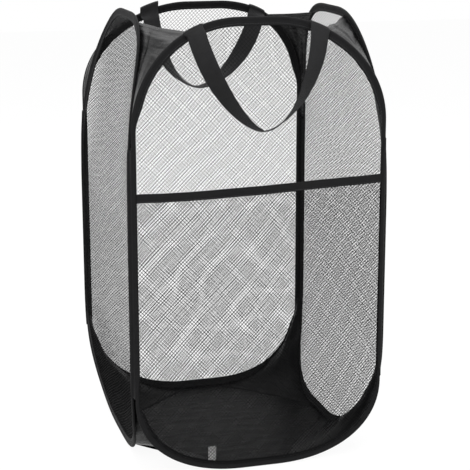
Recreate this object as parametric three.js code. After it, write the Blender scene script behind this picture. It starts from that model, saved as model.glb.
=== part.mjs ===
// Pop up laundry hamper: four mesh sides, each held open by a closed loop of spring wire in a sewn
// binding, joined along the upright corners, with cloth gussets at the corners and a cloth floor.
// Millimetres, +Z up, the front at -Y, the origin on the ground under the middle of the hamper.

import * as THREE from 'three';

// Overall size of the square hamper
const width = 356;
const depth = 356;
const height = 610;

// Rounded corners of each side: how far each reaches along the side, and up it on the front and the
// back, and on the left and the right side, whose loops are rounder
const shoulderRun = 150;
const footRun = 150;
const frontShoulderRise = 140;
const sideShoulderRise = 270;
const frontFootRise = 110;
const sideFootRise = 175;

// Roundness of these corners: 2 is an ellipse, and a higher power is squarer
const frontShoulderPowerShare = 2;
const sideShoulderPowerShare = 2.5;
const frontFootPowerShare = 2.2;
const sideFootPowerShare = 2.4;

// How far each side bends inwards at the middle of its top and of its foot
const frontTopLean = 25;
const leftTopLean = 37;
const backTopLean = 58;
const rightTopLean = 20;
const frontFootLean = 0;
const leftFootLean = 17;
const backFootLean = 30;
const rightFootLean = 30;

// The bend grows with height to this power, and fades towards the upright edges by this one
const leanRisePowerShare = 1.3;
const leanCrossPowerShare = 6;

// Sewn parts
const bindingWidth = 12;
const bindingThickness = 5;
const tapeWall = 0.6;
const meshThickness = 0.5;
const meshBar = 6;
const meshBorder = 5;
const clothThickness = 0.6;
const channelWidth = 4.4;
const bindingRound = 1;

// Spring wire and the sleeve that joins its two ends
const wireDiameter = 2;
const sleeveLength = 16;
const sleeveWall = 0.3;
const wireEndGap = 1;

// Clearances
const seamGap = 0.3;
const hingeGap = 0.3;
const floorEdgeGap = 0.6;

// Gussets: where the cloth starts and ends along each rounded corner, measured from the upright corner
const gussetTipRun = 3;
const topGussetHemRun = 67;
const gussetSeamInset = 1.5;
const topGussetBelly = 4;
const bottomGussetBelly = 0;

// Pocket on the lower half of the front
const pocketHeight = 396;
const pocketBelly = 13;
const pocketTapeWidth = 12;

// Handles
const webbingWidth = 25;
const webbingThickness = 1.5;
const handleSpan = 170;
const frontHandleDrop = 139;
const backHandleDrop = 121;
const frontHandleSway = 0;
const backHandleSway = 9;
const handlePivotRise = 7.3;
const handleHook = 10;
const handleHookDrop = 10;
const handleEndLap = 11;
const handleRootGap = 3.2;
const handleMeshGap = 4;
const backHandleHang = 10.5;
const frontHandleBowPowerShare = 1.5;
const backHandleBowPowerShare = 1.7;

// Care label at the foot of the front, inside
const labelWidth = 11;
const labelHeight = 28;
const labelThickness = 0.4;
const labelPlace = -68;
const labelFootRise = 4;

// Counts of straight pieces that the curves are made of
const cornerSteps = 10;
const meshColumns = 7;
const meshRows = 12;
const wireSides = 6;
const sleeveSides = 8;
const gussetRows = 8;
const gussetColumns = 4;
const pocketColumns = 10;
const handleSteps = 24;
const handleHookSteps = 3;
const handleColumns = 2;
const handleEndColumns = 4;

// Colours and finishes
const black = { color: 0x111113, roughness: 0.75, metalness: 0 };
const tapeBlack = { color: 0x17171a, roughness: 0.85, metalness: 0 };
const meshBlack = { color: 0x2a2a2c, roughness: 0.8, metalness: 0 };
const nylonBlack = { color: 0x0c0c0e, roughness: 0.45, metalness: 0 };
const steel = { color: 0x9a9ca0, roughness: 0.35, metalness: 0.9 };
const labelWhite = { color: 0xf2f2f0, roughness: 0.7, metalness: 0 };

// The inner faces of two neighbouring sides meet on an upright line, about which they hinge
const reachX = width / 2 - bindingThickness;
const reachY = depth / 2 - bindingThickness;

const frontShape = {
  shoulderRise: frontShoulderRise,
  shoulderPower: frontShoulderPowerShare,
  footRise: frontFootRise,
  footPower: frontFootPowerShare,
};
const sideShape = {
  shoulderRise: sideShoulderRise,
  shoulderPower: sideShoulderPowerShare,
  footRise: sideFootRise,
  footPower: sideFootPowerShare,
};

function makeSide(turn, shape, topLean, footLean) {
  const alongX = shape === frontShape;
  const half = (alongX ? reachX : reachY) - hingeGap;
  return { turn, reach: alongX ? reachY : reachX, half, topLean, footLean, ...shape };
}

const sides = {
  front: makeSide(0, frontShape, frontTopLean, frontFootLean),
  right: makeSide(Math.PI / 2, sideShape, rightTopLean, rightFootLean),
  back: makeSide(Math.PI, frontShape, backTopLean, backFootLean),
  left: makeSide(-Math.PI / 2, sideShape, leftTopLean, leftFootLean),
};

// A side in its own frame: x along it, z up, and its outer side at -y
function leanAt(side, x, z) {
  const above = Math.max(0, z - (height - side.shoulderRise)) / side.shoulderRise;
  const below = Math.max(0, side.footRise - z) / side.footRise;
  const across = 1 - Math.min(1, Math.abs(x) / side.half) ** leanCrossPowerShare;
  const bend = side.topLean * above ** leanRisePowerShare + side.footLean * below ** leanRisePowerShare;
  return bend * across;
}

// The point of the side's bent middle surface at x and z, moved outwards by offset along its normal
function surfacePoint(side, x, z, offset) {
  const step = meshThickness;
  const slopeX = (leanAt(side, x + step, z) - leanAt(side, x - step, z)) / (2 * step);
  const slopeZ = (leanAt(side, x, z + step) - leanAt(side, x, z - step)) / (2 * step);
  const outward = new THREE.Vector3(slopeX, -1, slopeZ).normalize();
  const middle = new THREE.Vector3(x, leanAt(side, x, z) - bindingThickness / 2, z);
  return middle.addScaledVector(outward, offset);
}

function sideToWorld(side, point) {
  const outwardX = Math.sin(side.turn) * side.reach;
  const outwardY = -Math.cos(side.turn) * side.reach;
  return point.clone().applyAxisAngle(new THREE.Vector3(0, 0, 1), side.turn)
    .add(new THREE.Vector3(outwardX, outwardY, 0));
}

// One rounded corner as points with inward normals, for the corner at +x; angle 0 is on the upright edge
function cornerPoint(side, isTop, angle) {
  const run = isTop ? shoulderRun : footRun;
  const rise = isTop ? side.shoulderRise : side.footRise;
  const power = isTop ? side.shoulderPower : side.footPower;
  const along = Math.max(0, Math.cos(angle)) ** (2 / power);
  const up = Math.max(0, Math.sin(angle)) ** (2 / power);
  const normal = new THREE.Vector2(along ** (power - 1) / run, up ** (power - 1) / rise).normalize();
  const x = side.half - run + run * along;
  const z = isTop ? height - rise + rise * up : rise - rise * up;
  return { x, z, inX: -normal.x, inZ: isTop ? -normal.y : normal.y };
}

const mirrorPoint = (point) => ({ x: -point.x, z: point.z, inX: -point.inX, inZ: point.inZ });

// The closed outline of a side, from the middle of its foot round by +x
function outline(side) {
  const foot = [];
  const shoulder = [];
  for (let k = 0; k <= cornerSteps; k += 1) {
    const angle = (Math.PI / 2) * (k / cornerSteps);
    foot.push(cornerPoint(side, false, Math.PI / 2 - angle));
    shoulder.push(cornerPoint(side, true, angle));
  }
  const rightHalf = [...foot, ...shoulder];
  const leftHalf = rightHalf.map(mirrorPoint).reverse();
  return [{ x: 0, z: 0, inX: 0, inZ: 1 }, ...rightHalf, { x: 0, z: height, inX: 0, inZ: -1 }, ...leftHalf];
}

const insetBy = (station, inset) => ({ x: station.x + station.inX * inset, z: station.z + station.inZ * inset });

// A body from its corner points and the triangles between them
function solidFrom(points, triangles) {
  const geometry = new THREE.BufferGeometry();
  geometry.setAttribute('position', new THREE.Float32BufferAttribute(points.flatMap((p) => [p.x, p.y, p.z]), 3));
  geometry.setIndex(triangles.flat());
  geometry.computeVertexNormals();
  return geometry;
}

const quad = (a, b, c, d) => [[a, b, c], [a, c, d]];

// A body swept through rings of points, closed on itself or capped at both ends
function sweep(rings, isClosed) {
  const count = rings[0].length;
  const spans = isClosed ? rings.length : rings.length - 1;
  const triangles = [];
  for (let r = 0; r < spans; r += 1) {
    const here = r * count;
    const next = ((r + 1) % rings.length) * count;
    for (let k = 0; k < count; k += 1) {
      const m = (k + 1) % count;
      triangles.push(...quad(here + k, here + m, next + m, next + k));
    }
  }
  if (!isClosed) {
    const flat = rings[0].map((p, k) => new THREE.Vector2(rings.section[k][0], rings.section[k][1]));
    const last = (rings.length - 1) * count;
    THREE.ShapeUtils.triangulateShape(flat, []).forEach(([a, b, c]) => {
      triangles.push([a, c, b], [last + a, last + b, last + c]);
    });
  }
  return turnedOut(solidFrom(rings.flat(), triangles));
}

// Six times the volume that the triangles enclose, positive where the faces point out
function signedVolume(geometry) {
  const place = geometry.getAttribute('position');
  const index = geometry.getIndex();
  const [a, b, c] = [new THREE.Vector3(), new THREE.Vector3(), new THREE.Vector3()];
  let sum = 0;
  for (let t = 0; t < index.count; t += 3) {
    a.fromBufferAttribute(place, index.getX(t));
    b.fromBufferAttribute(place, index.getX(t + 1));
    c.fromBufferAttribute(place, index.getX(t + 2));
    sum += a.dot(b.cross(c));
  }
  return sum;
}

function turnedOut(geometry) {
  if (signedVolume(geometry) >= 0) return geometry;
  const index = geometry.getIndex();
  for (let t = 0; t < index.count; t += 3) {
    const kept = index.getX(t + 1);
    index.setX(t + 1, index.getX(t + 2));
    index.setX(t + 2, kept);
  }
  geometry.computeVertexNormals();
  return geometry;
}

// A sheet with its two faces and a rim along every open edge
function thicken(faceOne, faceTwo, triangles) {
  const real = triangles.filter(([a, b, c]) => a !== b && b !== c && a !== c);
  const edges = new Map();
  real.forEach((corners) => corners.forEach((from, k) => {
    const to = corners[(k + 1) % 3];
    edges.set(`${from},${to}`, [from, to]);
  }));
  const shift = faceOne.length;
  const rim = [...edges.values()].filter(([from, to]) => !edges.has(`${to},${from}`));
  const walls = rim.flatMap(([from, to]) => quad(to, from, from + shift, to + shift));
  const under = real.map(([a, b, c]) => [a + shift, c + shift, b + shift]);
  return turnedOut(dropUnused(solidFrom([...faceOne, ...faceTwo], [...real, ...under, ...walls])));
}

function dropUnused(geometry) {
  const place = geometry.getAttribute('position');
  const index = Array.from(geometry.getIndex().array);
  const used = [...new Set(index)];
  const renumbered = new Map(used.map((old, fresh) => [old, fresh]));
  const points = used.map((old) => new THREE.Vector3().fromBufferAttribute(place, old));
  const corners = index.map((old) => renumbered.get(old));
  const triangles = [];
  for (let t = 0; t < corners.length; t += 3) triangles.push(corners.slice(t, t + 3));
  return solidFrom(points, triangles);
}

// A sheet on a grid of rows and columns; place(row, column, offset) gives its points
function gridSheet(rows, columns, halfThickness, place) {
  const faces = [halfThickness, -halfThickness].map((offset) => {
    const points = [];
    for (let r = 0; r <= rows; r += 1) {
      for (let c = 0; c <= columns; c += 1) points.push(place(r, c, offset));
    }
    return points;
  });
  const triangles = [];
  for (let r = 0; r < rows; r += 1) {
    for (let c = 0; c < columns; c += 1) {
      const a = r * (columns + 1) + c;
      triangles.push(...quad(a, a + 1, a + columns + 2, a + columns + 1));
    }
  }
  return thicken(faces[0], faces[1], triangles);
}

// Binding: a tape folded round the wire, whose two edges close on the mesh
function bindingSection() {
  const outer = bindingThickness / 2;
  const lip = meshThickness / 2 + seamGap;
  const inner = outer - tapeWall;
  const bend = tapeWall + channelWidth;
  const half = [[bindingWidth, lip + tapeWall], [bend, outer], [bindingRound, outer], [0, outer - bindingRound]];
  const hollow = [[tapeWall, inner], [bend, inner], [bindingWidth, lip]];
  const mirrored = (list) => list.map(([inset, offset]) => [inset, -offset]).reverse();
  return [...half, ...mirrored(half), ...mirrored(hollow), ...hollow];
}

function bindingGeometry(side) {
  const section = bindingSection();
  const rings = outline(side).map((station) => section.map(([inset, offset]) => {
    const place = insetBy(station, inset);
    const point = surfacePoint(side, place.x, place.z, offset);
    point.z = Math.min(height, Math.max(0, point.z));
    return point;
  }));
  return sweep(rings, true);
}

const wireInset = tapeWall + (bindingThickness / 2 - tapeWall);

// A round section as [inset, offset] pairs
function roundSection(radius, sideCount) {
  const corners = [];
  for (let k = 0; k < sideCount; k += 1) {
    const angle = (2 * Math.PI * k) / sideCount;
    corners.push([radius * Math.cos(angle), radius * Math.sin(angle)]);
  }
  return corners;
}

// The wire runs once round the side; its two ends face each other inside the sleeve
function wireGeometry(side) {
  const section = roundSection(wireDiameter / 2, wireSides);
  const start = { x: wireEndGap / 2, z: 0, inX: 0, inZ: 1 };
  const stations = [start, ...outline(side).slice(1), mirrorPoint(start)];
  const rings = stations.map((station) => section.map(([inset, offset]) => {
    const place = insetBy(station, wireInset + inset);
    return surfacePoint(side, place.x, place.z, offset);
  }));
  rings.section = section;
  return sweep(rings, false);
}

function sleeveGeometry(side) {
  const boreRadius = wireDiameter / 2 + seamGap;
  const bore = roundSection(boreRadius / Math.cos(Math.PI / sleeveSides), sleeveSides);
  const shell = roundSection(boreRadius + sleeveWall, sleeveSides);
  const shape = new THREE.Shape(shell.map(([a, b]) => new THREE.Vector2(a, b)));
  shape.holes.push(new THREE.Path(bore.map(([a, b]) => new THREE.Vector2(a, b))));
  const geometry = new THREE.ExtrudeGeometry(shape, { depth: sleeveLength, bevelEnabled: false });
  geometry.translate(0, 0, -sleeveLength / 2);
  geometry.rotateY(Math.PI / 2);
  const seat = surfacePoint(side, 0, wireInset, 0);
  geometry.translate(seat.x, seat.y, seat.z);
  return geometry;
}

// The mesh has a plain grid of openings within a border, which is held between the binding's lips
const meshEdgeInset = bindingWidth / 2;
const meshClearInset = bindingWidth + meshThickness * 2;

// How far a point lies inside a convex outline whose points run the same way round as its own
function depthInside(ring, point) {
  return Math.min(...ring.map((from, k) => {
    const to = ring[(k + 1) % ring.length];
    const length = Math.hypot(to.x - from.x, to.z - from.z);
    return ((to.x - from.x) * (point.z - from.z) - (to.z - from.z) * (point.x - from.x)) / length;
  }));
}

// The four grid points round a cell of the grid, which is named by its lowest column and row
const cornersOf = ([c, r]) => [[c, r], [c + 1, r], [c + 1, r + 1], [c, r + 1]];

// The edges of the open cells that lie on only one of them, joined into one loop of grid points
function loopAround(cells, key) {
  const edges = new Map();
  cells.forEach((cell) => cornersOf(cell).forEach((from, k, corners) => {
    const to = corners[(k + 1) % corners.length];
    edges.set(`${key(from)}:${key(to)}`, [from, to]);
  }));
  const outer = [...edges.values()].filter(([from, to]) => !edges.has(`${key(to)}:${key(from)}`));
  const nextOf = new Map(outer.map(([from, to]) => [key(from), to]));
  const loop = [outer[0][0]];
  while (key(nextOf.get(key(loop[loop.length - 1]))) !== key(loop[0])) {
    loop.push(nextOf.get(key(loop[loop.length - 1])));
  }
  return loop;
}

// Triangles between an outer and an inner loop, both once round the same middle
function stitchLoops(outer, inner, angleOf) {
  const turned = (loop) => {
    const first = loop.reduce((best, point, k) => (angleOf(point) < angleOf(loop[best]) ? k : best), 0);
    return [...loop.slice(first), ...loop.slice(0, first)];
  };
  const [far, near] = [turned(outer), turned(inner)];
  const angleAt = (loop, k) => angleOf(loop[k % loop.length]) + 2 * Math.PI * Math.floor(k / loop.length);
  const triangles = [];
  let [i, j] = [0, 0];
  while (i < far.length || j < near.length) {
    const outerNext = i < far.length && (j >= near.length || angleAt(far, i + 1) <= angleAt(near, j + 1));
    const [a, b] = [far[i % far.length], near[j % near.length]];
    if (outerNext) triangles.push([a, far[(i + 1) % far.length], b]);
    else triangles.push([a, near[(j + 1) % near.length], b]);
    if (outerNext) i += 1;
    else j += 1;
  }
  return triangles;
}

function meshGeometry(side) {
  const stations = outline(side).filter((station, k, all) => k === 0 || station.x !== all[k - 1].x
    || station.z !== all[k - 1].z);
  const edge = stations.map((station) => insetBy(station, meshEdgeInset));
  const clear = stations.map((station) => insetBy(station, meshClearInset));
  const reach = side.half - meshClearInset - meshBorder;
  const low = meshClearInset + meshBorder;
  const columnWidth = (2 * reach) / meshColumns;
  const rowHeight = (height - 2 * low) / meshRows;
  const gridPoint = ([c, r]) => ({ x: -reach + columnWidth * c, z: low + rowHeight * r });
  const cells = [];
  for (let r = 0; r < meshRows; r += 1) {
    for (let c = 0; c < meshColumns; c += 1) {
      const fits = cornersOf([c, r]).every((corner) => depthInside(clear, gridPoint(corner)) > meshBorder / 2);
      if (fits) cells.push([c, r]);
    }
  }
  const places = [...edge, ...clear];
  const numbers = new Map();
  const key = ([c, r]) => `${c},${r}`;
  const number = (corner) => {
    if (!numbers.has(key(corner))) {
      numbers.set(key(corner), places.length);
      places.push(gridPoint(corner));
    }
    return numbers.get(key(corner));
  };
  const count = stations.length;
  const triangles = stations.flatMap((station, k) => {
    const m = (k + 1) % count;
    return quad(k, m, m + count, k + count);
  });
  cells.forEach((cell) => {
    const [c, r] = cell;
    const outer = cornersOf(cell).map(number);
    const start = places.length;
    cornersOf(cell).forEach(([column, row]) => {
      const place = gridPoint([column, row]);
      const inX = (column === c ? 1 : -1) * (meshBar / 2);
      const inZ = (row === r ? 1 : -1) * (meshBar / 2);
      places.push({ x: place.x + inX, z: place.z + inZ });
    });
    outer.forEach((from, k) => {
      const m = (k + 1) % 4;
      triangles.push(...quad(from, outer[m], start + m, start + k));
    });
  });
  const middle = (height - side.shoulderRise + side.footRise) / 2;
  const angleOf = (k) => Math.atan2(places[k].z - middle, places[k].x);
  const ring = clear.map((place, k) => k + count);
  triangles.push(...stitchLoops(ring, loopAround(cells, key).map(number), angleOf));
  const face = (offset) => places.map((place) => surfacePoint(side, place.x, place.z, offset));
  return thicken(face(meshThickness / 2), face(-meshThickness / 2), triangles);
}

// Gussets: cloth drawn between the rounded corners of two neighbouring sides
const gussetOffset = -(bindingThickness / 2 + seamGap + clothThickness);

// The angle along a rounded corner at which it has come this far from the upright edge
function angleAtRun(side, isTop, run) {
  const whole = isTop ? shoulderRun : footRun;
  const power = isTop ? side.shoulderPower : side.footPower;
  return Math.acos(Math.max(0, 1 - run / whole) ** (power / 2));
}

// The angle along a rounded corner at which it has come to this height
function angleAtHeight(side, isTop, z) {
  const rise = isTop ? side.shoulderRise : side.footRise;
  const power = isTop ? side.shoulderPower : side.footPower;
  const up = isTop ? z - (height - rise) : rise - z;
  return Math.asin(Math.min(1, Math.max(0, up / rise)) ** (power / 2));
}

function gussetEdge(side, isTop, z, isHighEnd) {
  const station = cornerPoint(side, isTop, angleAtHeight(side, isTop, z));
  const place = insetBy(isHighEnd ? station : mirrorPoint(station), gussetSeamInset);
  return sideToWorld(side, surfacePoint(side, place.x, place.z, gussetOffset));
}

// The rows of a gusset are level, and follow the rounder loop from its tip to the hem or the ground
function gussetHeights(rounderSide, isTop) {
  const tip = angleAtRun(rounderSide, isTop, gussetTipRun);
  const hem = isTop ? angleAtRun(rounderSide, true, topGussetHemRun) : Math.PI / 2;
  const heights = [];
  for (let r = 0; r <= gussetRows; r += 1) {
    heights.push(cornerPoint(rounderSide, isTop, tip + (hem - tip) * (r / gussetRows)).z);
  }
  return heights;
}

function gussetGeometry(lowSide, highSide, isTop) {
  const heights = gussetHeights(sides.left, isTop);
  const belly = isTop ? topGussetBelly : bottomGussetBelly;
  const flat = (r, c) => {
    const from = gussetEdge(lowSide, isTop, heights[r], false);
    const to = gussetEdge(highSide, isTop, heights[r], true);
    const across = c / gussetColumns;
    const middle = from.clone().lerp(to, across);
    const outward = new THREE.Vector3(middle.x, middle.y, 0).normalize();
    return middle.addScaledVector(outward, belly * Math.sin(Math.PI * across) * (r / gussetRows));
  };
  return gridSheet(gussetRows, gussetColumns, clothThickness / 2, (r, c, offset) => {
    const point = flat(r, c);
    const alongRow = flat(r, Math.min(gussetColumns, c + 1)).sub(flat(r, Math.max(0, c - 1)));
    const alongColumn = flat(Math.min(gussetRows, r + 1), c).sub(flat(Math.max(0, r - 1), c));
    return point.addScaledVector(alongRow.cross(alongColumn).normalize(), offset);
  });
}

// Floor: eight sided, between the straight feet of the four sides
function floorGeometry() {
  const corners = [sides.front, sides.right, sides.back, sides.left].flatMap((side) => [-1, 1].map((end) => {
    const x = end * (side.half - footRun);
    const inward = leanAt(side, x, 0) + floorEdgeGap;
    const place = sideToWorld(side, new THREE.Vector3(x, inward, 0));
    return new THREE.Vector2(place.x, place.y);
  }));
  return new THREE.ExtrudeGeometry(new THREE.Shape(corners), { depth: clothThickness, bevelEnabled: false });
}

// Pocket: a second mesh over the lower half of the front, open along its bound upper edge
const pocketEdgeInset = bindingWidth + seamGap * 2;
const pocketTapeHalf = meshThickness / 2 + seamGap + tapeWall;
const pocketSeatOffset = meshThickness / 2 + seamGap + pocketTapeHalf;

function pocketOffset(side, x, z) {
  const open = Math.min(1, Math.max(0, z / pocketHeight));
  const across = 1 - (x / (side.half - bindingWidth)) ** 2;
  return pocketSeatOffset + pocketBelly * Math.max(0, across) * Math.sin((Math.PI / 2) * open);
}

const pocketUpperShares = [0.35, 0.7];

function pocketMeshGeometry(side) {
  const foot = outline(side).slice(1, cornerSteps + 2).map((station) => insetBy(station, pocketEdgeInset));
  const edge = foot[foot.length - 1];
  const topZ = pocketHeight - tapeWall - seamGap;
  const upper = [...pocketUpperShares, 1].map((share) => ({ x: edge.x, z: edge.z + (topZ - edge.z) * share }));
  const rows = [...foot, ...upper];
  return gridSheet(rows.length - 1, pocketColumns, meshThickness / 2, (r, c, offset) => {
    const x = rows[r].x * (2 * (c / pocketColumns) - 1);
    return surfacePoint(side, x, rows[r].z, pocketOffset(side, x, rows[r].z) + offset);
  });
}

function pocketBindingGeometry(side) {
  const lip = pocketTapeHalf - tapeWall;
  const outer = [[pocketTapeWidth, pocketTapeHalf], [0, pocketTapeHalf], [0, -pocketTapeHalf],
    [pocketTapeWidth, -pocketTapeHalf]];
  const hollow = [[pocketTapeWidth, -lip], [tapeWall, -lip], [tapeWall, lip], [pocketTapeWidth, lip]];
  const section = [...outer, ...hollow];
  const end = side.half - pocketEdgeInset;
  const rings = [];
  for (let c = 0; c <= pocketColumns; c += 1) {
    const x = end * (2 * (c / pocketColumns) - 1);
    rings.push(section.map(([drop, offset]) => {
      const z = pocketHeight - drop;
      return surfacePoint(side, x, z, pocketOffset(side, x, z) + offset);
    }));
  }
  rings.section = section;
  return sweep(rings, false);
}

// Handles: a loop of webbing that swings about a line just above the binding of its side
const handleEndX = handleSpan / 2;

// The highest point of the binding under one end of a handle
function bindingTopUnder(side) {
  const inner = handleEndX - webbingWidth / 2;
  const angle = angleAtRun(side, true, Math.min(shoulderRun, side.half - inner));
  return cornerPoint(side, true, angle).z;
}

function handlePivot(side) {
  const z = bindingTopUnder(side) + handlePivotRise;
  const y = surfacePoint(side, handleEndX, bindingTopUnder(side), 0).y;
  return new THREE.Vector3(0, y, z);
}

// How far out from its pivot line the webbing hangs at each depth: it hooks over the binding first
function hangAt(drop, wholeDrop, farOffset) {
  const hook = handleHook * Math.min(1, drop / handleHookDrop);
  const rest = Math.max(0, drop - handleHookDrop) / (wholeDrop - handleHookDrop);
  return hook + (farOffset - handleHook) * rest;
}

// Where the rings of a handle lie along it: close together over the binding, then evenly spaced
function handleShares({ drop: wholeDrop, bowPower }) {
  const hook = [];
  for (let k = 0; k <= handleHookSteps; k += 1) {
    const drop = handleHookDrop * (k / handleHookSteps);
    hook.push(Math.asin((drop / wholeDrop) ** (bowPower / 2)) / Math.PI);
  }
  const first = hook[hook.length - 1];
  const loop = [];
  for (let k = 1; k < handleSteps; k += 1) loop.push(first + (1 - 2 * first) * (k / handleSteps));
  return [...hook, ...loop, ...hook.map((share) => 1 - share).reverse()];
}

// A loop of webbing; its lowest point lies beside the middle by the sway
function handleGeometry(side, loop, farOffset, direction) {
  const pivot = handlePivot(side);
  const spine = (share) => {
    const angle = Math.PI * share;
    const across = -Math.cos(angle);
    const down = Math.sin(angle) ** (2 / loop.bowPower);
    const drop = loop.drop * down;
    const x = handleEndX * Math.sign(across) * Math.abs(across) ** (2 / loop.bowPower) + loop.sway * down;
    return new THREE.Vector3(x, pivot.y + direction * hangAt(drop, loop.drop, farOffset), pivot.z - drop);
  };
  const shares = handleShares(loop);
  const frames = shares.map((share, k) => {
    const next = spine(shares[Math.min(shares.length - 1, k + 1)]);
    const along = next.sub(spine(shares[Math.max(0, k - 1)])).normalize();
    const out = new THREE.Vector3(0, direction, 0);
    out.addScaledVector(along, -out.dot(along)).normalize();
    const inPlane = new THREE.Vector3().crossVectors(out, along);
    const turn = (Math.PI / 2) * Math.sin(Math.PI * share) ** 2;
    const wide = inPlane.clone().multiplyScalar(Math.cos(turn)).addScaledVector(out, Math.sin(turn));
    const thick = new THREE.Vector3().crossVectors(wide, along);
    return { centre: spine(share), wide, thick };
  });
  return gridSheet(shares.length - 1, handleColumns, webbingThickness / 2, (r, c, offset) => {
    const { centre, wide, thick } = frames[r];
    return centre.clone()
      .addScaledVector(wide, webbingWidth * (c / handleColumns - 1 / 2))
      .addScaledVector(thick, offset);
  });
}

// The sewn end of a handle lies on the far face of the binding and rises to the pivot line
function handleEndGeometry(side, end, direction) {
  const pivot = handlePivot(side);
  const top = bindingTopUnder(side);
  const seat = direction * (bindingThickness / 2 + seamGap + webbingThickness / 2);
  const heights = [top - handleEndLap, top - handleEndLap / 2, top, pivot.z - handleRootGap];
  return gridSheet(heights.length - 1, handleEndColumns, webbingThickness / 2, (r, c, offset) => {
    const x = end * handleEndX + webbingWidth * (c / handleEndColumns - 1 / 2);
    if (r < heights.length - 1) return surfacePoint(side, x, heights[r], seat + offset);
    return new THREE.Vector3(x, pivot.y - offset, heights[r]);
  });
}

// How far out from its pivot line the lowest point of the front handle lies, to clear the bent mesh
function frontHandleReach() {
  const side = sides.front;
  const pivot = handlePivot(side);
  const behind = surfacePoint(side, 0, pivot.z - frontHandleDrop, meshThickness / 2);
  return pivot.y - behind.y + webbingWidth / 2 + handleMeshGap;
}

// The label is sewn at its foot to the inner face of the binding and leans towards the mesh above it
function labelGeometry(side) {
  const run = Math.min(footRun, side.half - Math.abs(labelPlace));
  const low = cornerPoint(side, false, angleAtRun(side, false, run)).z + labelFootRise;
  const offsets = [bindingThickness / 2 + seamGap + labelThickness, meshThickness + seamGap + labelThickness];
  return gridSheet(1, 1, labelThickness / 2, (r, c, offset) => {
    const x = labelPlace + labelWidth * (c - 1 / 2);
    return surfacePoint(side, x, low + labelHeight * r, offset - offsets[r]);
  });
}

function part(name, geometry, finish) {
  const mesh = new THREE.Mesh(geometry, new THREE.MeshStandardMaterial(finish));
  mesh.name = name;
  return mesh;
}

function sideGroup(name) {
  const side = sides[name];
  const group = new THREE.Group();
  group.rotation.z = side.turn;
  group.position.copy(sideToWorld(side, new THREE.Vector3()));
  group.add(part(`${name}_wire`, wireGeometry(side), steel));
  group.add(part(`${name}_wire_sleeve`, sleeveGeometry(side), steel));
  group.add(part(`${name}_binding`, bindingGeometry(side), tapeBlack));
  group.add(part(`${name}_mesh`, meshGeometry(side), meshBlack));
  return group;
}

const hamper = new THREE.Group();
const groups = Object.fromEntries(Object.keys(sides).map((name) => [name, sideGroup(name)]));
Object.values(groups).forEach((group) => hamper.add(group));

// Each upright corner lies between the low end of one side and the high end of the next
const cornersBetween = [
  ['front_left', sides.front, sides.left],
  ['front_right', sides.right, sides.front],
  ['back_right', sides.back, sides.right],
  ['back_left', sides.left, sides.back],
];
cornersBetween.forEach(([name, lowSide, highSide]) => {
  hamper.add(part(`top_gusset_${name}`, gussetGeometry(lowSide, highSide, true), nylonBlack));
  hamper.add(part(`bottom_gusset_${name}`, gussetGeometry(lowSide, highSide, false), nylonBlack));
});

hamper.add(part('floor', floorGeometry(), nylonBlack));

groups.front.add(part('pocket_mesh', pocketMeshGeometry(sides.front), meshBlack));
groups.front.add(part('pocket_binding', pocketBindingGeometry(sides.front), tapeBlack));
groups.front.add(part('care_label', labelGeometry(sides.front), labelWhite));

const frontLoop = { drop: frontHandleDrop, sway: frontHandleSway, bowPower: frontHandleBowPowerShare };
groups.front.add(part('front_handle', handleGeometry(sides.front, frontLoop, frontHandleReach(), -1), black));
groups.front.add(part('front_handle_left_end', handleEndGeometry(sides.front, -1, -1), black));
groups.front.add(part('front_handle_right_end', handleEndGeometry(sides.front, 1, -1), black));

const backLoop = { drop: backHandleDrop, sway: backHandleSway, bowPower: backHandleBowPowerShare };
groups.back.add(part('back_handle', handleGeometry(sides.back, backLoop, backHandleHang, 1), black));
groups.back.add(part('back_handle_left_end', handleEndGeometry(sides.back, 1, 1), black));
groups.back.add(part('back_handle_right_end', handleEndGeometry(sides.back, -1, 1), black));

export default hamper;
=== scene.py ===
"""Pop up laundry hamper of black mesh: its looks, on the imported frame. Metres, +Z up, the front at -Y."""
import math

import bpy
import numpy as np
from mathutils import Matrix, Vector


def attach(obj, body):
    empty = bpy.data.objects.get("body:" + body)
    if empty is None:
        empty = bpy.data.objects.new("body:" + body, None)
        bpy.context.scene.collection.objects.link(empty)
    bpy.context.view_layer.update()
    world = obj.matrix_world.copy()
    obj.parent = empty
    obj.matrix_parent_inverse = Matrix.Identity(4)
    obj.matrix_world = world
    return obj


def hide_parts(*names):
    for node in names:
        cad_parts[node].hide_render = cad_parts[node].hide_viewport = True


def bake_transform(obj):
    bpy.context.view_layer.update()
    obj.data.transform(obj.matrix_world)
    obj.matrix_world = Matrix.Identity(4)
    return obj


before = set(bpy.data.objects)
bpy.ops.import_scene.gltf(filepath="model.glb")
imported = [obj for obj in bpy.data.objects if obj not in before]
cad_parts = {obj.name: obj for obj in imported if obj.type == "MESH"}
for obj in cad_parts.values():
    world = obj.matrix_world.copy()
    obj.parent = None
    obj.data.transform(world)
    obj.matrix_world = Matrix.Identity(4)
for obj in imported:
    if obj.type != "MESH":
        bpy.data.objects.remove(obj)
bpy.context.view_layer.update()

MM = 0.001

# The frame's sizes. A binding's flat part, beyond the wire's channel, keeps only a share of its width on
# upright edges. The sides' outer faces lie REACH from the middle, and each is HALF wide on both sides of it.
WIDTH = 356 * MM
HEIGHT = 610 * MM
CORNER_RUN = 150 * MM
BINDING_WIDTH = 12 * MM
BINDING_THICKNESS = 5 * MM
CHANNEL_WIDTH = 4.6 * MM
UPRIGHT_SHARE = 0.24
LEVEL_FROM = 0.3
REACH = WIDTH / 2 - BINDING_THICKNESS
HALF = REACH - 0.3 * MM
LEAN_RISE_POWER = 1.3
LEAN_CROSS_POWER = 6

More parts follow.
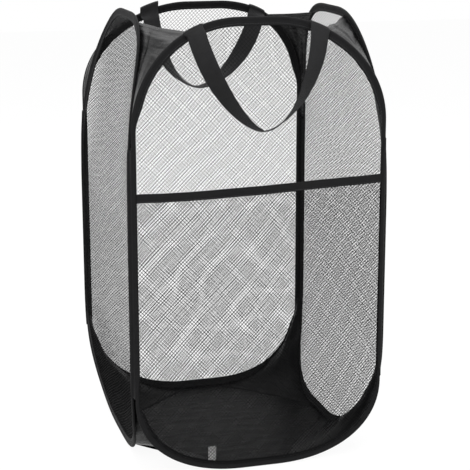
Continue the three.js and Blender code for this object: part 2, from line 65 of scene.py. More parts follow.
# How high the rounded corners of a side reach and how square they are, at its top and at its foot
FLAT_SHAPE = {"top_rise": 140 * MM, "top_power": 2.0, "foot_rise": 110 * MM, "foot_power": 2.2}
ROUND_SHAPE = {"top_rise": 270 * MM, "top_power": 2.5, "foot_rise": 175 * MM, "foot_power": 2.4}

# The nets of the two kinds of side and of the pocket: how far apart and how thick the threads are, and how
# far they are turned from level
FLAT_NET = {"pitch": 3.9 * MM, "radius": 0.235 * MM, "turn": math.radians(45)}
ROUND_NET = {"pitch": 3.6 * MM, "radius": 0.284 * MM, "turn": math.radians(25)}
POCKET_NET = {"pitch": 3.4 * MM, "radius": 0.324 * MM, "turn": math.radians(47)}

# Each side: how far it is turned, and how far its top and its foot bend inwards in the middle
FLAT = {**FLAT_SHAPE, "net": FLAT_NET}
ROUND = {**ROUND_SHAPE, "net": ROUND_NET}
SIDES = {
    "front": {**FLAT, "turn": 0.0, "top_lean": 25 * MM, "foot_lean": 0.0},
    "right": {**ROUND, "turn": math.pi / 2, "top_lean": 20 * MM, "foot_lean": 30 * MM},
    "back": {**FLAT, "turn": math.pi, "top_lean": 58 * MM, "foot_lean": 30 * MM},
    "left": {**ROUND, "turn": -math.pi / 2, "top_lean": 37 * MM, "foot_lean": 17 * MM},
}
PANELS = {name: f"{name}_panel" for name in SIDES}

# The four upright lines that the sides hinge about, and the sides whose low and whose high end lie there
CORNERS = {
    "front_left": (-REACH, -REACH),
    "front_right": (REACH, -REACH),
    "back_right": (REACH, REACH),
    "back_left": (-REACH, REACH),
}
NEIGHBOURS = {
    "front_left": ("front", "left"),
    "front_right": ("right", "front"),
    "back_right": ("back", "right"),
    "back_left": ("left", "back"),
}


# Shapes shared with the frame
def lean(side, x, z):
    """How far inwards the bent side lies at x and z."""
    above = np.maximum(0, z - (HEIGHT - side["top_rise"])) / side["top_rise"]
    below = np.maximum(0, side["foot_rise"] - z) / side["foot_rise"]
    across = 1 - np.minimum(1, np.abs(x) / HALF) ** LEAN_CROSS_POWER
    bend = side["top_lean"] * above**LEAN_RISE_POWER + side["foot_lean"] * below**LEAN_RISE_POWER
    return bend * across


def to_world(side, points):
    """Points of a side's own frame, x along it and -y outwards, in the hamper's frame."""
    turn = side["turn"]
    c, s = math.cos(turn), math.sin(turn)
    x, y, z = points[..., 0], points[..., 1], points[..., 2]
    return np.stack([c * x - s * y + s * REACH, s * x + c * y - c * REACH, z], axis=-1)


def beside_side(side, x, z, offset):
    """Points at x and z of a side in its own frame, moved outwards from its middle surface by offset."""
    x, z, offset = (np.asarray(values, float) for values in np.broadcast_arrays(x, z, offset))
    step = 0.5 * MM
    slope_x = (lean(side, x + step, z) - lean(side, x - step, z)) / (2 * step)
    slope_z = (lean(side, x, z + step) - lean(side, x, z - step)) / (2 * step)
    normal = unit(np.stack([slope_x, -np.ones_like(x), slope_z], axis=-1))
    middle = np.stack([x, lean(side, x, z) - BINDING_THICKNESS / 2, z], axis=-1)
    return middle + normal * offset[..., None]


def on_side(side, x, z, offset):
    """As beside_side, in the hamper's frame."""
    return to_world(side, beside_side(side, x, z, offset))


def roundness(side, is_top):
    """How high a side's rounded corners reach, and their power."""
    place = "top" if is_top else "foot"
    return side[f"{place}_rise"], side[f"{place}_power"]


def corner_arc(side, is_top, angles):
    """A rounded corner at +x as x, z and the inward direction; angle 0 is on the upright edge."""
    rise, power = roundness(side, is_top)
    along = np.maximum(0, np.cos(angles)) ** (2 / power)
    up = np.maximum(0, np.sin(angles)) ** (2 / power)
    normal = unit(np.stack([along ** (power - 1) / CORNER_RUN, up ** (power - 1) / rise], axis=-1))
    x = HALF - CORNER_RUN + CORNER_RUN * along
    z = HEIGHT - rise + rise * up if is_top else rise - rise * up
    return x, z, -normal[..., 0], (-normal[..., 1] if is_top else normal[..., 1])


def angle_at_run(side, is_top, run):
    """The angle along a rounded corner at which it has come this far from the upright edge."""
    return math.acos(max(0.0, 1 - run / CORNER_RUN) ** (roundness(side, is_top)[1] / 2))


def angles_at_height(side, is_top, z):
    """The angles along a rounded corner at which it has come to these heights."""
    rise, power = roundness(side, is_top)
    up = (z - (HEIGHT - rise)) / rise if is_top else (rise - z) / rise
    return np.arcsin(np.clip(up, 0, 1) ** (power / 2))


def narrowed(inset, inward_z):
    """The inset of a place on a binding, whose flat part is narrower along the upright edges."""
    level = np.clip(np.abs(inward_z) / LEVEL_FROM, 0, 1)
    share = UPRIGHT_SHARE + (1 - UPRIGHT_SHARE) * level**2 * (3 - 2 * level)
    return np.minimum(inset, CHANNEL_WIDTH) + np.maximum(0, inset - CHANNEL_WIDTH) * share


def outline(side, step):
    """The closed outline of a side, evenly spaced: x, z, inward x, inward z and the length so far."""
    angles = np.linspace(0, math.pi / 2, 400)
    foot = np.stack(corner_arc(side, False, angles[::-1]), axis=-1)
    shoulder = np.stack(corner_arc(side, True, angles), axis=-1)
    right = np.concatenate([[[0, 0, 0, 1]], foot, shoulder, [[0, HEIGHT, 0, -1]]])
    left = right[::-1][1:] * [-1, 1, -1, 1]
    whole = np.concatenate([right, left])
    length = length_along(whole[:, :2])
    count = int(round(length[-1] / step))
    at = np.linspace(0, length[-1], count, endpoint=False)
    even = resampled(at, length, whole)
    even[:, 2:] = unit(even[:, 2:])
    return even, at


def inside(stations, inset):
    """The x and z that lie in from an outline's stations by the inset, which is narrower on upright edges."""
    inset = narrowed(inset, stations[..., 3])
    return stations[..., 0] + stations[..., 2] * inset, stations[..., 1] + stations[..., 3] * inset


# Mesh making
def unit(vectors):
    return vectors / np.maximum(np.linalg.norm(vectors, axis=-1, keepdims=True), 1e-12)


def length_along(points):
    """The length of a line of points, so far at each of them."""
    return np.concatenate([[0], np.cumsum(np.linalg.norm(np.diff(points, axis=0), axis=1))])


def resampled(at, places, rows):
    """Rows of values that are known at some places, at other places."""
    return np.stack([np.interp(at, places, column) for column in rows.T], axis=-1)


def grid_uv(across, along):
    """The uv of a grid in millimetres, from its lengths across and along."""
    return np.stack(np.broadcast_arrays(across, along), axis=-1) / MM


def closed_section(half):
    """A closed section from its half, which begins and ends on the middle line."""
    return np.concatenate([half, half[-2:0:-1] * [1, -1]])


def make(name, points, faces, look, uv=None):
    """An object at the origin from its points and faces; uv has one pair for each point."""
    data = bpy.data.meshes.new(name)
    faces = faces if isinstance(faces, list) else faces.tolist()
    data.from_pydata(np.asarray(points).reshape(-1, 3).tolist(), [], faces)
    if uv is not None:
        layer = data.uv_layers.new(name="weave")
        index = np.zeros(len(data.loops), np.int32)
        data.loops.foreach_get("vertex_index", index)
        layer.data.foreach_set("uv", np.asarray(uv, np.float32).reshape(-1, 2)[index].ravel())
    data.polygons.foreach_set("use_smooth", np.ones(len(data.polygons), bool))
    data.materials.append(look)
    data.update()
    piece = bpy.data.objects.new(name, data)
    bpy.context.scene.collection.objects.link(piece)
    return piece


def grid_faces(rows, columns, closed_rows=False, closed_columns=False):
    """Quads of a grid of points, rows first."""
    r = np.arange(rows if closed_rows else rows - 1)
    c = np.arange(columns if closed_columns else columns - 1)
    r, c = np.meshgrid(r, c, indexing="ij")
    r2, c2 = (r + 1) % rows, (c + 1) % columns
    quads = np.stack([r * columns + c, r * columns + c2, r2 * columns + c2, r2 * columns + c], axis=-1)
    return quads.reshape(-1, 4)


def normals_of(points):
    """The normals of a grid of points."""
    down = np.gradient(points, axis=0)
    across = np.gradient(points, axis=1)
    return unit(np.cross(across, down))


def thick_sheet(points, half, uv):
    """A closed sheet round a grid of middle points: its points, faces and uv."""
    rows, columns = points.shape[:2]
    normal = normals_of(points)
    half = np.broadcast_to(np.asarray(half, float), (rows, columns))[..., None]
    both = np.concatenate([(points + normal * half).reshape(-1, 3), (points - normal * half).reshape(-1, 3)])
    count = rows * columns
    index = np.arange(count).reshape(rows, columns)
    ring = np.concatenate([index[0, :-1], index[:-1, -1], index[-1, :0:-1], index[:0:-1, 0]])
    after = np.roll(ring, -1)
    rim = np.stack([after, ring, ring + count, after + count], axis=-1)
    top = grid_faces(rows, columns)
    faces = np.concatenate([top, top[:, ::-1] + count, rim])
    return both, faces, np.concatenate([uv.reshape(-1, 2)] * 2)


def wave(values, seed, count, low, high):
    """A smooth wave between -1 and 1 along values from 0 to 1, of count waves with low to high turns."""
    chance = np.random.default_rng(seed)
    total = np.zeros_like(values)
    for _ in range(count):
        total += np.sin(2 * math.pi * (chance.uniform(low, high) * values + chance.uniform()))
    return total / count


# Materials

# The pitch of each plain weave in millimetres, and how much of the nylon's width counts for its creases,
# which makes them long across the cloth
NYLON_PITCH = 0.7
LABEL_PITCH = 0.5
CREASE_SQUEEZE = 0.3


def material(name, colour, roughness, sheen=0.0, specular=0.5, metallic=0.0):
    """A material and its main shader."""
    made = bpy.data.materials.new(name)
    made.use_nodes = True
    shader = made.node_tree.nodes["Principled BSDF"]
    shader.inputs["Base Color"].default_value = (*colour, 1)
    shader.inputs["Roughness"].default_value = roughness
    shader.inputs["Metallic"].default_value = metallic
    shader.inputs["Specular IOR Level"].default_value = specular
    shader.inputs["Sheen Weight"].default_value = sheen
    shader.inputs["Sheen Roughness"].default_value = 0.4
    return made, made.node_tree, shader


def add(tree, kind, inputs=None, **values):
    """A node with its properties and its inputs, which are values or other nodes' outputs."""
    node = tree.nodes.new(kind)
    for key, value in values.items():
        setattr(node, key, value)
    for key, value in (inputs or {}).items():
        if isinstance(value, bpy.types.NodeSocket):
            tree.links.new(value, node.inputs[key])
        else:
            node.inputs[key].default_value = value
    return node


def maths(tree, operation, *values):
    """The output of a sum on values or other nodes' outputs."""
    return add(tree, "ShaderNodeMath", dict(enumerate(values)), operation=operation).outputs[0]


def plus(tree, base, part, share):
    """The output of base + part * share."""
    return maths(tree, "ADD", base, maths(tree, "MULTIPLY", part, share))


def tinted(tree, shader, factor, stops):
    """Colours the shader by a ramp between two stops, each a place and a colour."""
    node = add(tree, "ShaderNodeValToRGB", {0: factor})
    points = node.color_ramp.elements
    for point, (place, colour) in zip(points, stops):
        point.position = place
        point.color = (*colour, 1)
    tree.links.new(node.outputs["Color"], shader.inputs["Base Color"])


def grey(level):
    return (level, level, level * 1.06)


def noise(tree, where, scale, detail=3.0, roughness=0.55):
    facts = {"Vector": where, "Scale": scale, "Detail": detail, "Roughness": roughness}
    return add(tree, "ShaderNodeTexNoise", facts).outputs["Fac"]


def bump(tree, shader, height, distance):
    node = add(tree, "ShaderNodeBump", {"Height": height, "Distance": distance, "Strength": 1.0})
    tree.links.new(node.outputs["Normal"], shader.inputs["Normal"])


def weave_uv(tree):
    """The uv of a cloth, and its parts across and along."""
    uv = add(tree, "ShaderNodeUVMap", uv_map="weave").outputs["UV"]
    parts = add(tree, "ShaderNodeSeparateXYZ", {0: uv})
    return uv, parts.outputs["X"], parts.outputs["Y"]


def plain_weave(tree, across, along, pitch_across, pitch_along):
    """The height of a plain weave, from 0 to 1."""
    warp = maths(tree, "SINE", maths(tree, "MULTIPLY", across, 2 * math.pi / pitch_across))
    weft = maths(tree, "SINE", maths(tree, "MULTIPLY", along, 2 * math.pi / pitch_along))
    return plus(tree, 0.5, maths(tree, "MULTIPLY", warp, weft), 0.5)


def roughened(tree, shader, factor, lowest):
    """Varies the shader's roughness by a factor."""
    tree.links.new(plus(tree, lowest, factor, 0.2), shader.inputs["Roughness"])


def woven(name, dark, light, roughness, pitch_across, pitch_along, depth, sheen, twill=0.0, specular=0.4):
    """Woven tape or webbing, with painted shade in the weave's hollows. Its uv is in millimetres, across and
    then along.
    """
    made, tree, shader = material(name, dark, roughness, sheen, specular)
    uv, across, along = weave_uv(tree)
    shifted = plus(tree, along, across, twill)
    height = plain_weave(tree, across, shifted, pitch_across, pitch_along)
    height = plus(tree, height, noise(tree, uv, 3.0), 0.5)
    bump(tree, shader, height, depth)
    patches = noise(tree, uv, 0.09, 4.0)
    # The colour follows the weave's height, darker in its hollows and lighter on its raised threads as
    # painted shade, mixed with patches of the cloth's own uneven tone
    weave_shade_and_tone = plus(tree, maths(tree, "MULTIPLY", height, 0.35), patches, 0.65)
    tinted(tree, shader, weave_shade_and_tone, [(0.3, dark), (0.85, light)])
    roughened(tree, shader, patches, roughness - 0.1)
    return made


def nylon_cloth(name, specular, crease_height):
    """Smooth woven cloth with long creases, painted darker in their hollows and lighter on their ridges as
    shade and highlight. Its uv is in millimetres.
    """
    made, tree, shader = material(name, grey(0.006), 0.3, 0.0, specular)
    _, across, along = weave_uv(tree)
    squeezed = maths(tree, "MULTIPLY", across, CREASE_SQUEEZE)
    where = add(tree, "ShaderNodeCombineXYZ", {"X": squeezed, "Y": along}).outputs["Vector"]
    creases = noise(tree, where, 0.07, 2.0, 0.4)
    fine = maths(tree, "MULTIPLY", plain_weave(tree, across, along, NYLON_PITCH, NYLON_PITCH), 0.03)
    bump(tree, shader, plus(tree, fine, creases, crease_height), 1.2 * MM)
    # Painted shade in the creases' hollows and painted highlight on their ridges: the colour follows the
    # creases' height
    tinted(tree, shader, creases, [(0.25, grey(0.003)), (0.8, grey(0.007))])
    roughened(tree, shader, creases, 0.18)
    return made


def thread(name, colour, roughness, specular, fineness, depth):
    """Thread of the same colour all over, with a fine fibre bump."""
    made, tree, shader = material(name, colour, roughness, 0.0, specular)
    where = add(tree, "ShaderNodeTexCoord").outputs["Object"]
    bump(tree, shader, noise(tree, where, fineness, 2.0), depth)
    return made


def drawn_steel():
    made, tree, shader = material("drawn_steel", (0.42, 0.42, 0.44), 0.32, 0.0, 0.5, 1.0)
    where = add(tree, "ShaderNodeTexCoord").outputs["Object"]
    marks = noise(tree, where, 900.0, 4.0)
    bump(tree, shader, marks, 0.03 * MM)
    tinted(tree, shader, marks, [(0.3, (0.33, 0.33, 0.35)), (0.8, (0.5, 0.5, 0.52))])
    return made


def label_cloth():
    made, tree, shader = material("label_cloth", (0.86, 0.86, 0.85), 0.7, 0.1)
    uv, _, along = weave_uv(tree)
    rib = maths(tree, "SINE", maths(tree, "MULTIPLY", along, 2 * math.pi / LABEL_PITCH))
    tone = noise(tree, uv, 0.6)
    bump(tree, shader, maths(tree, "ADD", rib, tone), 0.05 * MM)
    tinted(tree, shader, tone, [(0.2, (0.8, 0.8, 0.79)), (0.8, (0.9, 0.9, 0.89))])
    return made


TAPE = woven("binding_tape", grey(0.004), grey(0.011), 0.72, 0.9, 0.9, 0.12 * MM, 0.02, specular=0.12)
WEBBING = woven("webbing", grey(0.005), grey(0.016), 0.66, 1.5, 2.2, 0.4 * MM, 0.05, twill=0.6, specular=0.17)
GLOSSY_NYLON = nylon_cloth("glossy_nylon", 0.22, 2.6)
DULL_NYLON = nylon_cloth("dull_nylon", 0.05, 1.0)
NET = thread("net_thread", grey(0.004), 0.65, 0.03, 2500.0, 0.06 * MM)
THREAD = thread("seam_thread", grey(0.02), 0.5, 0.4, 3000.0, 0.08 * MM)
STEEL = drawn_steel()
LABEL = label_cloth()


# Bindings and their seams

# The tape's section, from its outer edge inwards: a channel round the wire, then two layers sewn flat
TAPE_SECTION = np.array(
    [
        [0.0, 0.0], [0.12, 0.6], [0.55, 1.25], [1.4, 1.85], [2.5, 2.1], [3.6, 1.85], [4.6, 1.3], [5.6, 0.95],
        [7.2, 0.85], [8.5, 0.85], [9.1, 0.62], [9.7, 0.85], [11.0, 0.85], [11.7, 0.7], [12.0, 0.0],
    ]
) * MM
SEAM_INSET = 9.1 * MM
STITCH_PITCH = 3.4 * MM
STITCH_LENGTH = 2.7 * MM
STITCH_RADIUS = 0.24 * MM
STITCH_SINK = 1.5
STITCH_SIDES = 6

# A stitch from end to end: the place along it and its thickness, as shares of half its length and its radius
STITCH_SHARES = np.array([[-1, 0.15], [-0.82, 0.75], [-0.3, 1.0], [0.3, 1.0], [0.82, 0.75], [1, 0.15]])

# How the tape waves: the waves round a side, where on its width they begin, how far they move its edge in
# and out, and by what share they change its thickness
TAPE_WAVES = (6, 8, 40)
TAPE_STIFF = 5 * MM
WAVE_IN = 0.35 * MM
WAVE_OUT = 0.25 * MM
WAVE_THICKNESS = 0.08
TAPE_FACE = 0.78 * MM


def binding(name):
    """The tape folded round a side's wire."""
    side = SIDES[name]
    stations, length = outline(side, 4 * MM)
    share = length / length[-1]
    section = closed_section(TAPE_SECTION)
    seed = sorted(SIDES).index(name)
    in_wave, out_wave = (wave(share, seed + by, *TAPE_WAVES)[:, None] for by in (0, 10))
    near_edge = np.clip((section[:, 0] - TAPE_STIFF) / (BINDING_WIDTH - TAPE_STIFF), 0, 1)
    inset = section[:, 0] + WAVE_IN * in_wave * near_edge
    offset = section[:, 1] * (1 + WAVE_THICKNESS * out_wave) + WAVE_OUT * out_wave * near_edge
    points = on_side(side, *inside(stations[:, None], inset), offset)
    points[..., 2] = np.clip(points[..., 2], 0, HEIGHT)
    uv = grid_uv(length_along(section), length[:, None])
    faces = grid_faces(len(stations), len(section), closed_rows=True, closed_columns=True)
    piece = make(f"{name}_binding_tape", points, faces, TAPE, uv)
    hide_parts(f"{name}_binding")
    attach(piece, PANELS[name])


def stitches(name, middles, along, up):
    """A short thread at each of the middles, which lies along the cloth; up points away from it."""
    across = np.cross(along, up)
    angle = 2 * math.pi * np.arange(STITCH_SIDES) / STITCH_SIDES
    places, thickness = STITCH_SHARES.T
    sink = (1 - thickness) * STITCH_RADIUS * STITCH_SINK
    centre = middles[:, None] + along[:, None] * (places * STITCH_LENGTH / 2)[:, None]
    centre = centre - up[:, None] * sink[:, None]
    around = np.cos(angle)[:, None] * across[:, None, None] + np.sin(angle)[:, None] * up[:, None, None]
    points = centre[:, :, None] + around * (thickness * STITCH_RADIUS)[:, None, None]
    one = grid_faces(len(places), STITCH_SIDES, closed_columns=True)
    first = np.arange(len(middles)) * len(places) * STITCH_SIDES
    piece = make(name, points, (one[None] + first[:, None, None]).reshape(-1, 4), THREAD)
    return piece


def seam_on_side(name, side, x, z, offsets):
    """Stitches on both faces of a layer along the points x and z of a side; offsets are those faces'."""
    middle = (offsets[0] + offsets[1]) / 2
    lines = [on_side(side, x, z, offset) for offset in offsets]
    ups = [unit(line - on_side(side, x, z, middle)) for line in lines]
    alongs = [unit(np.gradient(line, axis=0)) for line in lines]
    return stitches(name, np.concatenate(lines), np.concatenate(alongs), np.concatenate(ups))


def binding_seam(name):
    """The stitches that close the binding on the net."""
    stations, _ = outline(SIDES[name], STITCH_PITCH)
    x, z = inside(stations, SEAM_INSET)
    piece = seam_on_side(f"{name}_binding_seam", SIDES[name], x, z, (TAPE_FACE, -TAPE_FACE))
    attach(piece, PANELS[name])


# Nets

# The threads: a step along one, its sides, how many radii the two families lie apart, by what share of a
# pitch the second is shifted, how far a thread wanders and where near its ends that fades
NET_STEP = 12 * MM
NET_SIDES = 4
NET_APART = 1.5
NET_SHIFT = 0.37
NET_WANDER = (0.9 * MM, 0.7 * MM)
NET_FADE = 20 * MM
NET_LAP = 1 * MM
OUTLINE_STEP = 10 * MM


def crossing(boundary, start, ahead):
    """Where a line enters and leaves a convex boundary, as distances from its start, or None."""
    edge = np.roll(boundary, -1, axis=0) - boundary
    gap = start - boundary
    cross = edge[:, 0] * ahead[1] - edge[:, 1] * ahead[0]
    beyond = edge[:, 0] * gap[:, 1] - edge[:, 1] * gap[:, 0]
    entering, leaving = cross > 1e-12, cross < -1e-12
    if not entering.any() or not leaving.any():
        return None
    first = np.max(-beyond[entering] / cross[entering])
    last = np.min(-beyond[leaving] / cross[leaving])
    return (first, last) if last > first else None


def thread_line(start, ahead, beside, ends, seed):
    """The middle line of a net's thread, which wanders a little between its ends."""
    count = max(3, int((ends[1] - ends[0]) / NET_STEP) + 1)
    along = np.linspace(*ends, count)
    flat = start + along[:, None] * ahead
    bend = NET_WANDER[0] * np.sin(flat[:, 0] * 31 + flat[:, 1] * 17 + seed)
    bend = bend + NET_WANDER[1] * np.sin(flat[:, 1] * 43 - flat[:, 0] * 23 + 2 * seed)
    fade = np.minimum(1, np.minimum(along - ends[0], ends[1] - along) / NET_FADE)
    return flat + beside * (bend * fade)[:, None]


def net(name, boundary, place, seed, pitch, radius, turn):
    """Two crossing families of threads within a convex boundary of x and z, which place puts on a side."""
    all_points, all_faces, total = [], [], 0
    low, high = boundary.min(0), boundary.max(0)
    middle, reach = (low + high) / 2, np.linalg.norm(high - low) / 2
    ring = 2 * math.pi * (np.arange(NET_SIDES) + 0.5) / NET_SIDES
    for family, angle in enumerate((turn, -turn)):
        ahead = np.array([math.cos(angle), math.sin(angle)])
        beside = np.array([-ahead[1], ahead[0]])
        lifted = (0.5 - family) * NET_APART * radius
        for k in range(-int(reach / pitch), int(reach / pitch) + 1):
            start = middle + beside * (k + NET_SHIFT * family) * pitch
            ends = crossing(boundary, start, ahead)
            if ends is None or ends[1] - ends[0] < pitch:
                continue
            flat = thread_line(start, ahead, beside, ends, seed)
            x = flat[:, 0, None] + beside[0] * radius * np.cos(ring)
            z = flat[:, 1, None] + beside[1] * radius * np.cos(ring)
            all_points.append(place(x, z, lifted + radius * np.sin(ring)).reshape(-1, 3))
            all_faces.append(grid_faces(len(flat), NET_SIDES, closed_columns=True) + total)
            total += len(flat) * NET_SIDES
    piece = make(name, np.concatenate(all_points), np.concatenate(all_faces), NET)
    return piece


def side_net(name):
    """The open net of a side, which ends inside its binding's seam."""
    side = SIDES[name]
    stations, _ = outline(side, OUTLINE_STEP)
    boundary = stations[:, :2] + stations[:, 2:] * (narrowed(SEAM_INSET, stations[:, 3:]) - NET_LAP)
    piece = net(
        f"{name}_net", boundary, lambda x, z, offset: on_side(side, x, z, offset), sorted(SIDES).index(name),
        **side["net"],
    )
    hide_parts(f"{name}_mesh")
    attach(piece, PANELS[name])


# Gussets and floor

# The cloth's half thickness, how far out and in a gusset is sewn, how far it keeps from a handle, how near
# the ground it leaves the seam, where its tip lies on the rounded corner, and how far out the floor is sewn
CLOTH_HALF = 0.25 * MM
GUSSET_OFFSET = -2.3 * MM
GUSSET_SEAM_INSET = 1.5 * MM
SEWN_OFFSET = -1.15 * MM
CLEAR_OF_HANDLE = 1.9 * MM
GROUND_FADE = 24 * MM
TIP_RUN = 3 * MM
FLOOR_EDGE_OFFSET = -1.7 * MM

# The top gussets: how far they bulge, their hem's depth, edge, sag and seam. The bottom gussets: how far they
# are drawn inwards, ripple and stay off the ground. The heights of the floor's two layers and how far the
# upper one reaches under the gussets
TOP_BULGE = 4 * MM
HEM_DEPTH = 9 * MM
HEM_EDGE = 0.8 * MM
HEM_SAG = 0.8 * MM
HEM_SEAM_DEPTH = 8 * MM
HEM_SEAM_FACE = 0.62 * MM
FOOT_DRAWN = 11 * MM
FOOT_RIPPLE = 0.7 * MM
GROUND_CLEAR = 0.9 * MM
FLOOR_LEVELS = {"upper": 2.2 * MM, "lower": 0.62 * MM}
FLOOR_TUCK = 20 * MM

# How far along its two sides each hem reaches, from the upright corner: the low end's side first
HEM_RUNS = {
    "front_left": (81 * MM, 118 * MM),
    "front_right": (118 * MM, 81 * MM),
    "back_right": (72.7 * MM, 96 * MM),
    "back_left": (115 * MM, 72.7 * MM),
}


def edge_at_height(side, is_top, z):
    """The side's outline at +x at these heights, as x, z and the inward direction."""
    x, arc_z, in_x, in_z = corner_arc(side, is_top, angles_at_height(side, is_top, z))
    upright = z < HEIGHT - side["top_rise"] if is_top else z > side["foot_rise"]
    return x, np.where(upright, z, arc_z), np.where(upright, -1.0, in_x), np.where(upright, 0.0, in_z)


def gusset_seam(name, is_top, z, in_z):
    """How far in and out a gusset is sewn to a side: by the binding's own seam, except near the ground and on
    the shoulders of the front and the back, where it lies over the edge of the binding."""
    if is_top and name in ("front", "back"):
        share = (z - z[0]) / (z[-1] - z[0])
        return GUSSET_SEAM_INSET, GUSSET_OFFSET - CLEAR_OF_HANDLE * share**6
    under = np.clip(z / GROUND_FADE, 0, 1)
    inset = GUSSET_SEAM_INSET + (narrowed(SEAM_INSET, in_z) - GUSSET_SEAM_INSET) * under
    return inset, GUSSET_OFFSET + (SEWN_OFFSET - GUSSET_OFFSET) * under


def gusset_edges(corner, is_top, rows):
    """The two sewn edges of a gusset, on the low end of one side and the high end of the other."""
    edges = []
    for name, end, hem_run in zip(NEIGHBOURS[corner], (-1, 1), HEM_RUNS[corner]):
        side = SIDES[name]
        z = gusset_heights(is_top, rows)
        if is_top:
            hem = corner_arc(side, True, np.array(angle_at_run(side, True, hem_run)))[1]
            z = z[0] + (z - z[0]) * (hem - z[0]) / (z[-1] - z[0])
        x, edge_z, in_x, in_z = edge_at_height(side, is_top, z)
        inset, offset = gusset_seam(name, is_top, z, in_z)
        edges.append(on_side(side, end * (x + in_x * inset), edge_z + in_z * inset, offset))
    return edges


def gusset_heights(is_top, rows):
    """Rows from a gusset's tip to its hem or the ground, close together where the rounder sides bend."""
    rounder = SIDES["left"]
    tip = angle_at_run(rounder, is_top, TIP_RUN)
    end = angle_at_run(rounder, True, max(HEM_RUNS["front_left"])) if is_top else math.pi / 2
    return corner_arc(rounder, is_top, np.linspace(tip, end, rows))[1]


def corner_blend(piece):
    """Bakes the place of cloth round an upright corner into its points."""
    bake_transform(piece)


def gusset_grid(corner, is_top, rows, columns):
    """A gusset's sewn edges, its shares down and across, and the points straight between the edges."""
    low, high = gusset_edges(corner, is_top, rows)
    down = np.linspace(0, 1, rows)[:, None]
    across = np.linspace(0, 1, columns)
    points = low[:, None, :] + (high - low)[:, None, :] * across[None, :, None]
    return (low, high), down, across, points


def gusset_piece(name, points, half, edges, look):
    """The cloth of a gusset, which narrows to its tip, from its middle points and its two sewn edges."""
    length = length_along(points[:, points.shape[1] // 2])
    width = np.linalg.norm(edges[1] - edges[0], axis=1)
    uv = grid_uv(np.linspace(0, 1, points.shape[1]) * width[:, None], length[:, None])
    made, faces, uv = thick_sheet(points, half, uv)
    piece = make(f"{name}_cloth", made, faces, look, uv)
    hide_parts(name)
    corner_blend(piece)


def hem_folds(down, across, seed):
    """How far the folds that run to the hem stand out, and the two long ones that run along it."""
    chance = np.random.default_rng(seed)
    folds = np.zeros((len(down), len(across)))
    for fold in range(5):
        path = chance.uniform(0.12, 0.88) + chance.uniform(-0.3, 0.3) * (1 - down)
        height = chance.uniform(0.9, 2.0) * MM * (1 if fold % 2 else -1)
        folds += height * np.exp(-(((across[None, :] - path) / chance.uniform(0.05, 0.12)) ** 2)) * down
    folds += 1.8 * MM * np.exp(-(((down - 0.8 - 0.05 * (across[None, :] - 0.5)) / 0.05) ** 2))
    folds -= 1.2 * MM * np.exp(-(((down - 0.68 + 0.08 * (across[None, :] - 0.5)) / 0.06) ** 2))
    return folds


def hem_seam(corner, points, across, length):
    """The stitches that hold a hem, on both faces of its cloth."""
    row = int(np.argmin(np.abs(length - (length[-1] - HEM_SEAM_DEPTH))))
    at = np.linspace(0.04, 0.96, int(length_along(points[row])[-1] / STITCH_PITCH))
    line = resampled(at, across, points[row])
    normal = unit(resampled(at, across, normals_of(points)[row]))
    along = unit(np.gradient(line, axis=0))
    face = normal * HEM_SEAM_FACE
    seam = stitches(
        f"top_gusset_{corner}_seam", np.concatenate([line + face, line - face]),
        np.concatenate([along, along]), np.concatenate([normal, -normal]),
    )
    corner_blend(seam)


def top_gusset(corner, seed):
    """Cloth drawn between the shoulders of two sides, with a hem along its upper edge."""
    edges, down, across, points = gusset_grid(corner, True, 60, 44)
    outward = unit(points * [1, 1, 0])
    arch = np.sin(math.pi * across)[None, :]
    points = points + outward * ((TOP_BULGE * down + hem_folds(down, across, seed)) * arch)[..., None]
    points[..., 2] -= HEM_SAG * arch**2 * down**6
    length = length_along(points[:, len(across) // 2])
    hem_share = np.clip((length - (length[-1] - HEM_DEPTH)) / HEM_EDGE, 0, 1)
    half = CLOTH_HALF * (1 + 1.4 * hem_share)[:, None]
    gusset_piece(f"top_gusset_{corner}", points, half, edges, GLOSSY_NYLON)
    hem_seam(corner, points, across, length)


def bottom_gusset(corner, seed):
    """Cloth drawn between the feet of two sides, from its tip down to the ground."""
    edges, down, across, points = gusset_grid(corner, False, 44, 44)
    arch = np.sin(math.pi * across)[None, :]
    chance = np.random.default_rng(seed)
    ripple = np.sin(2 * math.pi * (2.3 * down + 1.3 * across[None, :] + chance.uniform()))
    ripple = ripple + 0.6 * np.sin(2 * math.pi * (3.1 * across[None, :] - 1.7 * down + chance.uniform()))
    lift = (FOOT_RIPPLE * ripple - FOOT_DRAWN) * arch * np.sin(math.pi * down)
    points = points + normals_of(points) * lift[..., None]
    points[..., 2] = np.maximum(points[..., 2], GROUND_CLEAR)
    gusset_piece(f"bottom_gusset_{corner}", points, CLOTH_HALF, edges, DULL_NYLON)


def floor_corners(tuck):
    """The eight corners of a floor cloth, whose edges under the gussets lie further out by the tuck."""
    ring = np.array([
        on_side(side, end * (HALF - CORNER_RUN), 0.0, FLOOR_EDGE_OFFSET)[:2]
        for side in SIDES.values() for end in (-1, 1)
    ])
    along = np.abs(ring) < np.abs(ring[:, ::-1])
    return ring + np.sign(ring) * along * tuck * math.sqrt(2)


def closed_disc(rings):
    """The points and faces of a closed sheet whose upper face is made of rings, from its border inwards."""
    rows, columns = rings.shape[:2]
    top = rings.reshape(-1, 3)
    under = top - [0, 0, 2 * CLOTH_HALF]
    count = rows * columns
    centre = np.array([[0, 0, top[-columns:, 2].mean()], [0, 0, under[-columns:, 2].mean()]])
    sheet = grid_faces(rows, columns, closed_columns=True)
    rim = np.arange(columns)
    after = np.roll(rim, -1)
    walls = np.stack([after, rim, rim + count, after + count], axis=-1)
    lid = (np.stack([rim, after], axis=-1) + count - columns).tolist()
    lids = [[a, b, 2 * count] for a, b in lid] + [[b + count, a + count, 2 * count + 1] for a, b in lid]
    faces = sheet.tolist() + (sheet[:, ::-1] + count).tolist() + walls.tolist() + lids
    return np.concatenate([top, under, centre]), faces


